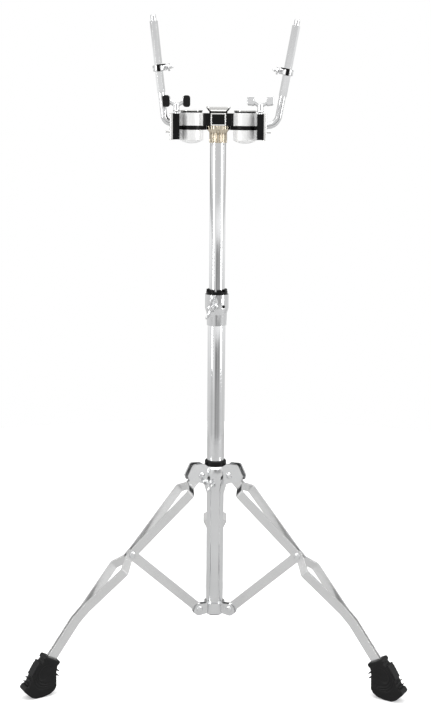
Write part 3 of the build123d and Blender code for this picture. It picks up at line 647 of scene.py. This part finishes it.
# %% [markdown]
# ## Rubber boots
# Each leg ends in a moulded boot. Its parts are drawn as simple solids: a body, a thick collar round
# the strips, thin fins, a pad and a toe. A voxel remesh then joins them into one skin, and a few
# rounds of smoothing give the soft inside corners of a moulding.


# %% One skin from several solids
def skin(bm, voxel, rounds):
    """Joins overlapping solids into one skin and smooths it."""
    clean(bm)
    data = bpy.data.meshes.new("solids")
    bm.to_mesh(data)
    bm.free()
    lump = bpy.data.objects.new("solids", data)
    scene.collection.objects.link(lump)
    join = lump.modifiers.new("join", "REMESH")
    join.mode = "VOXEL"
    join.voxel_size = voxel
    evaluated = lump.evaluated_get(bpy.context.evaluated_depsgraph_get())
    joined = bpy.data.meshes.new_from_object(evaluated)
    bpy.data.objects.remove(lump)
    bpy.data.meshes.remove(data)
    whole = bmesh.new()
    whole.from_mesh(joined)
    bpy.data.meshes.remove(joined)
    for _ in range(rounds):
        bmesh.ops.smooth_vert(
            whole, verts=whole.verts, factor=0.5, use_axis_x=True, use_axis_y=True, use_axis_z=True
        )
    return whole


def bevel(bm, geom, size, segments, affect):
    """Rounds the given corners or edges of a drawing."""
    bmesh.ops.bevel(
        bm,
        geom=geom,
        offset=size,
        offset_type="OFFSET",
        affect=affect,
        segments=segments,
        profile=0.5,
        material=-1,
        clamp_overlap=True,
    )


def slab(outline, half, corner, edge, segments=3):
    """An upright plate: its outline's corners are rounded, then the edges of its two faces."""
    bm = bmesh.new()
    face = bm.faces.new([bm.verts.new((x, -half, z)) for x, z in outline])
    if corner > 0:
        bevel(bm, bm.verts[:], corner, segments + 2, "VERTICES")
    raised = bmesh.ops.extrude_face_region(bm, geom=bm.faces[:])
    moved = [v for v in raised["geom"] if isinstance(v, bmesh.types.BMVert)]
    bmesh.ops.translate(bm, vec=(0, 2 * half, 0), verts=moved)
    bmesh.ops.recalc_face_normals(bm, faces=bm.faces)
    if edge > 0:
        rims = [e for e in bm.edges if abs(e.verts[0].co.y - e.verts[1].co.y) < half]
        bevel(bm, rims, edge, segments, "EDGES")
    return bm


# %% Boot solids
SHIN = radians(37.5)
MOUTH = (298.8, 61.0)  # where the shin's line meets the boot


def beside(along, out):
    """A point of the leg's plane: along the shin from the boot's mouth, and outward of it."""
    x = MOUTH[0] + along * sin(SHIN) + out * cos(SHIN)
    return x, MOUTH[1] - along * cos(SHIN) + out * sin(SHIN)


def bar_outline(along, inner, outer, thick):
    """Outline of a bar that lies across the shin."""
    low, high = along - thick / 2, along + thick / 2
    return [beside(low, inner), beside(low, outer), beside(high, outer), beside(high, inner)]


# Outward and upward corners of the boot's body, from the inner end of its mouth.
BOOT_CORE = (
    (291.8, 52.6),
    (309.0, 66.0),
    (321.5, 54.4),
    (335.1, 35.9),
    (341.5, 23.6),
    (346.0, 23.4),
    (350.0, 18.8),
    (350.0, 16.0),
    (344.0, 9.5),
    (338.0, 3.5),
    (331.0, 0.4),
    (318.0, 0.4),
    (306.0, 3.0),
    (298.8, 8.0),
    (295.2, 14.0),
    (295.0, 25.0),
    (295.0, 38.0),
)
BOOT_PAD = ((314.0, 54.0), (323.0, 58.2), (327.6, 53.2), (336.8, 38.6), (333.0, 34.0), (322.0, 42.0))
# Each fin: along the shin, its inner and outer reach, and half its length across the leg.
FINS = (
    (16.4, 6.0, 18.2, 9.5),
    (47.0, 6.0, 16.6, 9.5),
    (54.2, 5.0, 15.6, 9.5),
    (13.0, -21.6, -8.0, 9.0),
    (19.6, -25.4, -8.0, 9.0),
)
FIN_THICK = 1.7
BOOT_VOXEL = 0.62
COLLAR_BAR = (beside(-1.6, -13.2), beside(2.4, 15.2), beside(9.8, 15.2), beside(6.2, -13.2))


def boot():
    """The joined skin of one boot, in the plane of a leg that points along x."""
    collar = slab(COLLAR_BAR, 11.5, 2.4, 2.2)
    solids = [collar, slab(BOOT_CORE, 10.8, 1.2, 2.6), slab(BOOT_PAD, 9.5, 1.0, 1.5)]
    for along, low, high, half in FINS:
        solids.append(slab(bar_outline(along, low, high, FIN_THICK), half, 0, 0))
    return skin(merged(*solids), BOOT_VOXEL, 2)


PANEL_MIDDLE = beside(25.0, 0.0)
PANEL_LONG, PANEL_WIDE, PANEL_DEEP = 14.0, 9.5, 0.8
GROOVES = (17.0, 21.5, 26.0)  # along the shin from the panel's middle
GROOVE_HALF, GROOVE_DEEP = 1.2, 0.9


def pressed(bm):
    """Presses an oval panel and three curved grooves into the broad sides."""
    for vert in bm.verts:
        if abs(vert.co.y) < 7.5:
            continue
        x, z = vert.co.x - PANEL_MIDDLE[0], vert.co.z - PANEL_MIDDLE[1]
        along = x * sin(SHIN) - z * cos(SHIN)
        across = x * cos(SHIN) + z * sin(SHIN)
        reach = (along / PANEL_LONG) ** 2 + (across / PANEL_WIDE) ** 2
        depth = PANEL_DEEP * max(0.0, min(1.0, (1.0 - reach) * 4.0))
        for start in GROOVES:
            line = start - 0.035 * (across + 4.0) ** 2
            depth = max(depth, GROOVE_DEEP * max(0.0, 1.0 - abs(along - line) / GROOVE_HALF))
        vert.co.y -= depth if vert.co.y > 0 else -depth
    return bm


boot_drawing = pressed(boot())
for number, azimuth in AZIMUTHS.items():
    copy = boot_drawing.copy()
    bmesh.ops.transform(copy, matrix=leg_turn(azimuth), verts=copy.verts)
    finished(f"leg_{number}_boot", copy, "rubber", f"leg_{number}", (f"leg_{number}_foot",), corner=60)
print("boot triangles", 2 * len(boot_drawing.faces))
boot_drawing.free()

# %% [markdown]
# Where the two strips of a leg spread below the hub, each carries a thin black sheet in the rubber
# finish.
# It is a painted dark reflection on the spread's outer plating. The real stand has no part there.

# %% Painted dark reflections on the spreads
LEG_SLOPE = atan2(MID_OUT - HUB_OUT, HUB_UP - MID_UP)
SPREAD = ((25.0, 4.1), (36.0, 21.5))  # along the leg, and sideways, of a strip's outer face
SHEET_THICK = 0.7
SHEET_WIDE = 12.4
SHEET_SHARE = 0.68  # of the spread's length
SHEET_LOW = 0.6  # below the strip's middle


def painted_reflection_sheet(side):
    """A thin black sheet on the outer face of one strip's spread, in the plane of a leg along x. It
    paints a dark reflection.
    """
    along, sideways = SPREAD[1][0] - SPREAD[0][0], SPREAD[1][1] - SPREAD[0][1]
    length = (along**2 + sideways**2) ** 0.5
    bm = bmesh.new()
    bmesh.ops.create_cube(bm, size=1.0)
    for vert in bm.verts:
        run = length * (0.5 + SHEET_SHARE * vert.co.x)
        lift = SHEET_THICK * (vert.co.z + 0.5)
        leg = SPREAD[0][0] + (along * run - sideways * lift) / length
        aside = SPREAD[0][1] + (sideways * run + along * lift) / length
        out = SHEET_WIDE * vert.co.y - SHEET_LOW
        vert.co = (
            HUB_OUT + leg * sin(LEG_SLOPE) + out * cos(LEG_SLOPE),
            side * aside,
            HUB_UP - leg * cos(LEG_SLOPE) + out * sin(LEG_SLOPE),
        )
    return bm


# Each leg gets a black sheet over both spreads. These are painted dark reflections, not parts.
for number, azimuth in AZIMUTHS.items():
    reflection_sheets = merged(painted_reflection_sheet(-1), painted_reflection_sheet(1))
    bmesh.ops.transform(reflection_sheets, matrix=leg_turn(azimuth), verts=reflection_sheets.verts)
    rounded(finished(f"leg_{number}_painted_reflection_sheets", reflection_sheets, "rubber", f"leg_{number}"), 0.2)
print("painted dark reflection sheets on", len(AZIMUTHS), "legs")

# %% [markdown]
# ## Screws with wings
# A wing screw is a small casting: a tapered hub, a thin arm to each side, and a broad lobe that the
# fingers press. The lobes are drawn as plates and joined to the hub with the same skin as the boots,
# which leaves the soft inside corners of a real casting.


# %% Wing screw
def placed(origin, axis, across):
    """Matrix of a seat: z along the screw, x across its wings."""
    z = Vector(axis).normalized()
    x = (Vector(across) - Vector(across).dot(z) * z).normalized()
    turn = Matrix((x, z.cross(x), z)).transposed().to_4x4()
    return Matrix.Translation(Vector(origin)) @ turn


def wing_screw(seat, hub, stem, lobes, thick, curl=0.0, voxel=0.42):
    """A wing screw on its seat: the hub's half section, the stem's radius and length, flat lobes."""
    core = lathe([(0.0, -stem[1]), (stem[0], -stem[1]), (stem[0], 0.5)] + hub, 48)
    plates = [slab(outline, thick / 2, round_by, min(1.2, thick / 3)) for outline, round_by in lobes]
    bm = skin(merged(core, *plates), voxel, 2)
    widest = max(abs(vert.co.x) for vert in bm.verts)
    for vert in bm.verts:
        vert.co.y += curl * (vert.co.x / widest) * abs(vert.co.x / widest)
    bmesh.ops.transform(bm, matrix=seat, verts=bm.verts)
    return bm


def mirrored_plate(outline):
    """The same plate on both sides of the screw."""
    return [outline, [(-x, z) for x, z in outline[::-1]]]


def lobed(outlines, round_by):
    """Plates on both sides of the screw, each with the radius of its corners."""
    return [(outline, round_by) for half in outlines for outline in mirrored_plate(half)]


LOCK_AZIMUTH = radians(252.0)
OUT_LOCK = Vector((cos(LOCK_AZIMUTH), sin(LOCK_AZIMUTH), 0))
UPWARD = Vector((0, 0, 1))
CLAMP_OUT, CLAMP_UP = 27.3, 607
LOCK_OUT, LOCK_UP = 26.3, 309

# %% Holder wing bolts
SIDES = (("left", -1), ("right", 1))
WING_HUB = [(5.5, 0.5), (5.6, 1.2), (4.6, 3.0), (4.2, 12.0), (3.6, 13.6), (2.2, 14.2), (0.0, 14.4)]
WING_LOBE = [(9.2, 9.5), (20.8, 10.8), (20.8, 24.6), (9.8, 24.6)]
WING_ARM = [(2.0, 7.0), (11.0, 12.0), (11.0, 19.0), (2.0, 13.4)]
WING_OUT, WING_FRONT = 65.7, -20.0
WING_SEAT = box_mm("holder_block")[1].z + 1.5
for side, sign in SIDES:
    seat = placed((sign * WING_OUT, WING_FRONT, WING_SEAT), (0, 0, 1), (1, 0, 0))
    bolt = wing_screw(seat, WING_HUB, (3.0, 38.0), lobed([WING_LOBE, WING_ARM], 2.4), 4.5)
    finished(
        f"{side}_wing_bolt_cast", bolt, "fastener_chrome", f"{side}_wing", (f"{side}_wing_bolt",), 60
    )

# %% Clamp bolt and hub lock
CLAMP_HUB = [(6.0, 0.5), (6.0, 3.0), (5.0, 7.5), (3.5, 8.6), (0.0, 9.0)]
CLAMP_LOBE = [(3.0, 2.5), (10.0, 4.0), (18.0, 6.0), (18.0, 14.0), (10.0, 14.5), (3.0, 8.0)]
clamp_seat = placed(OUT_LOCK * CLAMP_OUT + UPWARD * CLAMP_UP, OUT_LOCK, (0.10, 0, 1.0))
clamp_bolt = wing_screw(clamp_seat, CLAMP_HUB, (3.0, 11.5), lobed([CLAMP_LOBE], 2.6), 3.6, curl=-3.4)
finished("clamp_bolt_cast", clamp_bolt, "fastener_chrome", "clamp_bolt", ("clamp_wing_bolt",), 60)
LOCK_HUB = [(4.5, 0.5), (4.5, 2.5), (3.4, 4.0), (0.0, 4.4)]
LOCK_LOBE = [(1.5, 1.0), (9.4, 3.4), (9.4, 9.4), (5.0, 8.0), (1.5, 3.8)]
lock_seat = placed(OUT_LOCK * LOCK_OUT + UPWARD * LOCK_UP, OUT_LOCK, (0.30, 0, 1.0))
hub_lock = wing_screw(lock_seat, LOCK_HUB, (3.0, 10.5), lobed([LOCK_LOBE], 1.6), 3.0, curl=-1.2)
finished("hub_lock_cast", hub_lock, "fastener_chrome", "hub_lock", ("collar_lock_bolt",), 60)

# %% [markdown]
# ## Memory locks
# A ring on each rod remembers the drum's height. It is a chromed ring with a black plate before and
# behind the rod, and a tapered screw with a small wing on its inner side.

# %% Memory locks
NOSE = [(3.8, 0.5), (3.8, 2.0), (2.9, 3.5), (2.5, 8.0), (1.6, 9.8), (0.0, 10.2)]
NOSE_LOBE = [(0.5, 0.6), (6.4, 1.2), (6.4, 4.2), (0.5, 6.2)]
RING_R = 9.3
RING_BORE = 6.6
RING_HALF = 4.6
RING_TO_SCREW = 13.3
BOSS = [(2.7, 6.8), (4.6, 6.8), (4.6, 12.2), (3.9, 13.0), (2.7, 13.0)]
GRIP = [(-2.6, -5.3), (2.6, -5.3), (2.6, 3.2), (11.5, 3.2), (11.5, 5.3), (-2.6, 5.3)]
GRIP_THICK = 2.8
GRIP_FACE = 9.6
for side in ("left", "right"):
    turn = JOINTS[f"{side}_lock_screw_turn"]
    upright = Vector(JOINTS[f"{side}_lock_slide"]["axis"])
    head = (Vector(turn["pos_m"]) - Vector((0, MAST_Y, 0))) / MM
    inward = Vector((-head.x, 0, 0)).normalized()
    inward = (inward - inward.dot(upright) * upright).normalized()
    seat = placed(head, inward, upright)
    screw = wing_screw(seat, NOSE, (2.5, 6.0), lobed([NOSE_LOBE], 1.2), 2.6, voxel=0.34)
    finished(
        f"{side}_memory_screw_cast",
        screw,
        "fastener_chrome",
        f"{side}_lock_screw",
        (f"{side}_memory_screw",),
        60,
    )
    centre = head - inward * RING_TO_SCREW
    stand = placed(centre, upright, inward)
    ring_section = [(RING_BORE, -RING_HALF)] + rim(RING_R, -RING_HALF, 1.4, upward=-1)[::-1]
    ring_section += rim(RING_R, RING_HALF, 1.4) + [(RING_BORE, RING_HALF)]
    ring = lathe(ring_section, 64, stand)
    boss = lathe(BOSS, 40, placed(centre, inward, upright))
    finished(
        f"{side}_memory_ring_turned",
        merged(ring, boss),
        "fastener_chrome",
        f"{side}_lock",
        (f"{side}_memory_lock",),
    )
    plates = [slab(GRIP, GRIP_THICK / 2, 0, 0.5) for _ in range(2)]
    for plate, way_out in zip(plates, (-1, 1)):
        shift = Vector((0, way_out * (GRIP_FACE - GRIP_THICK / 2), 0))
        bmesh.ops.translate(plate, vec=shift, verts=plate.verts)
    grip = merged(*plates)
    bmesh.ops.transform(grip, matrix=stand, verts=grip.verts)
    finished(f"{side}_memory_grip", grip, "black_plastic", f"{side}_lock")
print("memory locks at", [round(v, 1) for v in centre])

# %% [markdown]
# ## The height clamp's crown
# The plastic bushing in the clamp ends in a crown of notches, so that it can close on the tube. A
# ring is spun full circle, and each tooth of the crown is a short part of a turn, closed at its ends.


# %% Crown
def tooth(inner, outer, low, high, start, sweep):
    """A short arc of a square section, with closed ends."""
    bm = bmesh.new()
    section = ((inner, low), (outer, low), (outer, high), (inner, high))
    face = bm.faces.new([bm.verts.new((radius, 0.0, height)) for radius, height in section])
    bmesh.ops.rotate(bm, verts=bm.verts, cent=(0, 0, 0), matrix=Matrix.Rotation(start, 3, "Z"))
    centre = {"axis": (0, 0, 1), "cent": (0, 0, 0)}
    bmesh.ops.spin(bm, geom=[face], angle=sweep, steps=8, use_duplicate=False, **centre)
    return clean(bm)


crown_low, crown_high = box_mm("clamp_bushing")
CROWN_R, CROWN_BORE = 17.4, 12.75
CROWN_BASE = crown_low.z + 4.6
TEETH = 7
base = ((CROWN_BORE, crown_low.z), (CROWN_R, crown_low.z), (CROWN_R, CROWN_BASE))
crown = [lathe(list(base) + [(CROWN_BORE, CROWN_BASE)])]
for k in range(TEETH):
    start = 2 * pi * k / TEETH + 0.2
    foot = CROWN_BASE - 0.2
    crown.append(tooth(CROWN_BORE, CROWN_R - 0.4, foot, crown_high.z, start, 0.6))
rounded(
    finished("clamp_crown_moulded", merged(*crown), "black_plastic", "column", ("clamp_bushing",)), 0.5
)

# %% [markdown]
# ## Receiver and drums
# The receiver is a fluted nut under the block. Its plain section is spun first, and the flutes are
# then pressed in by moving each point of the skin inward, most where a flute's middle lies.

# %% Receiver
nut_low, nut_high = box_mm("holder_receiver")
FLUTES = 18
FLUTE_DEPTH = 1.3
NUT_BORE, NUT_R, FLARE_R = 12.8, 14.3, 18.8
nut_section = [(NUT_BORE, nut_low.z), (NUT_R - 0.4, nut_low.z), (NUT_R, nut_low.z + 0.6)]
nut_section += [(NUT_R, nut_low.z + step) for step in (4.0, 8.0, 12.0, 16.0)]
nut_section += [(16.0, nut_high.z - 7.6), (18.4, nut_high.z - 6.2)]
nut_section += [(FLARE_R, nut_high.z - 5.6), (FLARE_R, nut_high.z), (NUT_BORE, nut_high.z)]
nut = lathe(nut_section, 264)
for vert in nut.verts:
    reach = vert.co.xy.length
    if reach > 13.5 and vert.co.z < nut_high.z - 1.0:
        turn = atan2(vert.co.y, vert.co.x)
        flute = max(0.0, cos(FLUTES * turn)) ** 2
        vert.co.xy *= 1 - FLUTE_DEPTH * flute / reach
finished("receiver_fluted", nut, "warm_chrome", "holder", ("holder_receiver",))

# %% [markdown]
# Chrome must not rub on chrome. A black saddle sits on each side of the receiver, against the drum,
# and a gasket lies under the cap. Both are plain blocks of hard plastic with small edge radii.

# %% Saddles
SADDLE = ((18.9, 23.9), (-9.0, 9.0), (888.0, 894.4))  # between the receiver and a drum
for side, sign in SIDES:
    saddle = bmesh.new()
    bmesh.ops.create_cube(saddle, size=1.0)
    for vert in saddle.verts:
        spot = [low + (high - low) * (c + 0.5) for (low, high), c in zip(SADDLE, vert.co)]
        vert.co = (sign * spot[0], spot[1], spot[2])
    rounded(finished(f"{side}_saddle", saddle, "black_plastic", "holder"), 0.4)
print("saddles between", SADDLE[0])

# %% Cap gasket
CORNERS = ((-1, -1), (1, -1), (1, 1), (-1, 1))
GASKET_OUT, GASKET_IN = (14.3, 15.3), (13.05, 14.05)


def square_ring(outer, inner, low, high):
    """A rectangular ring, from half sizes in x and y."""
    bm = bmesh.new()
    section = ((outer, low), (outer, high), (inner, high), (inner, low))
    loops = [[bm.verts.new((i * x, j * y, z)) for i, j in CORNERS] for (x, y), z in section]
    for first, second in zip(loops, loops[1:] + loops[:1]):
        for k in range(4):
            bm.faces.new((first[k], first[k - 3], second[k - 3], second[k]))
    return bm


cap_foot = box_mm("holder_cap")[0].z
gasket = square_ring(GASKET_OUT, GASKET_IN, cap_foot + 0.05, cap_foot + 3.3)
rounded(finished("cap_gasket", gasket, "black_plastic", "holder"), 0.3)
print("cap gasket at", round(cap_foot, 1))

# %% [markdown]
# The two clamping jaws look like small drums. Each keeps the frame's shell, cut off below its lid. The
# lid is a spun cap with a rolled edge, and the black gasket under it shows as a thin dark line.

# %% Drum shells and lids
DRUM_OUT = 42.5
LID_HIGH = 4.0
GASKET_R, GASKET_HIGH = 17.0, 2.2
LID_SECTION = [(0.0, 2.1), (15.5, 2.1), (17.4, 2.2), (18.1, 2.7), (18.1, 3.2), (17.2, 3.8)]
LID_SECTION += [(14.0, LID_HIGH), (0.0, LID_HIGH)]
GASKET_SECTION = [(0.0, 0.0), (GASKET_R, 0.0), (GASKET_R, GASKET_HIGH), (0.0, GASKET_HIGH)]
for side, sign in SIDES:
    shell_top = box_mm(f"{side}_upper_shell")[1].z - LID_HIGH
    shell = drawing_of(f"{side}_upper_shell")
    bmesh.ops.bisect_plane(
        shell,
        geom=shell.verts[:] + shell.edges[:] + shell.faces[:],
        plane_co=(0, 0, shell_top),
        plane_no=(0, 0, 1),
        clear_outer=True,
        dist=0.01,
    )
    bmesh.ops.holes_fill(shell, edges=[edge for edge in shell.edges if edge.is_boundary], sides=0)
    drum = finished(
        f"{side}_upper_drum", shell, "satin_chrome", "holder", (f"{side}_upper_shell",)
    )
    rounded(drum, 0.5)
    over = Matrix.Translation((sign * DRUM_OUT, 0, shell_top))
    lid = lathe(LID_SECTION, 96, over)
    finished(f"{side}_drum_lid", lid, "holder_chrome", "holder")
    gasket = lathe(GASKET_SECTION, 96, over)
    finished(f"{side}_drum_gasket", gasket, "black_plastic", "holder")
print("drum lids at", round(shell_top, 1))
